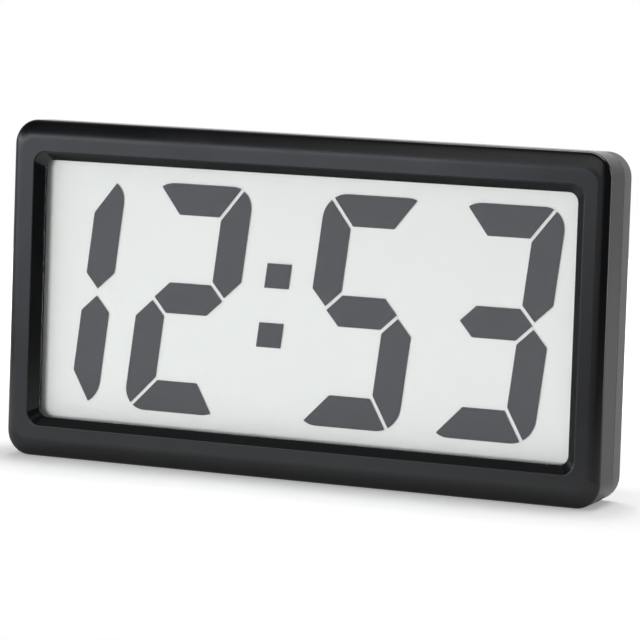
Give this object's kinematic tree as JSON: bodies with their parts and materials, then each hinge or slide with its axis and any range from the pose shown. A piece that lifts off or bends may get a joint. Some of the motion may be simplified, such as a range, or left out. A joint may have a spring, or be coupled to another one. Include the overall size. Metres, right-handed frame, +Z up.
{
  "type": "magnetic digital clock",
  "caption": "Slim rectangular digital clock with a large sunk LCD, a magnetic back, set buttons, a sliding battery door and a fold-out foot that leans it back.",
  "frame": {"origin": "on the ground, under the middle of the plan of the clock with its foot out", "axes": "+X to the right as the display is read, +Y out of the back, +Z up"},
  "size_m": [0.145, 0.0476, 0.0748],
  "materials": {
    "case_plastic": "satin moulded ABS",
    "button_plastic": "satin",
    "display_film": "satin film",
    "display_glass": "polished",
    "reflector_film": "silver-grey satin",
    "holder_plastic": "satin",
    "elastomer": "matte",
    "board_laminate": "satin",
    "epoxy": "gloss",
    "bright_steel": "bright",
    "dark_steel": "blackened",
    "nickel_plate": "nickel plated",
    "cell_wrap": "shrink sleeve",
    "red_wire": "satin",
    "black_wire": "satin"
  },
  "bodies": {
    "case": {"front_bezel": "case_plastic", "rear_cover": "case_plastic", "lcd_front_polariser": "display_film", "lcd_front_glass": "display_glass", "lcd_rear_glass": "display_glass", "lcd_reflector": "reflector_film", "lcd_holder": "holder_plastic", "zebra_strip": "elastomer", "circuit_board": "board_laminate", "controller_blob": "epoxy", "quartz_crystal": "bright_steel", "battery_spring": "bright_steel", "stand_hinge_pin": "bright_steel", "tact_switch_1": "dark_steel", "tact_switch_2": "dark_steel", "tact_switch_3": "dark_steel", "case_screw_1": "dark_steel", "case_screw_2": "dark_steel", "case_screw_3": "dark_steel", "case_screw_4": "dark_steel", "holder_screw_1": "dark_steel", "holder_screw_2": "dark_steel", "holder_screw_3": "dark_steel", "holder_screw_4": "dark_steel", "contact_plate_positive": "nickel_plate", "contact_plate_negative": "nickel_plate", "magnet_1": "nickel_plate", "magnet_2": "nickel_plate", "magnet_3": "nickel_plate", "magnet_4": "nickel_plate", "battery_cell": "cell_wrap", "battery_lead_positive": "red_wire", "battery_lead_negative": "black_wire"},
    "foot": {"stand_foot": "case_plastic"},
    "door": {"battery_door": "case_plastic"},
    "button_1": {"set_button_1": "button_plastic"},
    "button_2": {"set_button_2": "button_plastic"},
    "button_3": {"set_button_3": "button_plastic"}
  },
  "joints": [
    {"name": "foot_fold", "type": "hinge", "parent": "case", "child": "foot", "pos_m": [0, -0.00821, 0.0034], "axis": [1, 0, 0], "range_deg": [0, 85.8]},
    {"name": "door_slide", "type": "slide", "parent": "case", "child": "door", "axis": [0, 0.0732, 0.9973], "range_m": [0, 0.014]},
    {"name": "button_1_press", "type": "slide", "parent": "case", "child": "button_1", "axis": [0, -0.9973, 0.0732], "range_m": [0, 0.0006], "stiffness_N_per_m": 2000, "springref_m": -0.0003},
    {"name": "button_2_press", "type": "slide", "parent": "case", "child": "button_2", "axis": [0, -0.9973, 0.0732], "range_m": [0, 0.0006], "stiffness_N_per_m": 2000, "springref_m": -0.0003},
    {"name": "button_3_press", "type": "slide", "parent": "case", "child": "button_3", "axis": [0, -0.9973, 0.0732], "range_m": [0, 0.0006], "stiffness_N_per_m": 2000, "springref_m": -0.0003}
  ]
}
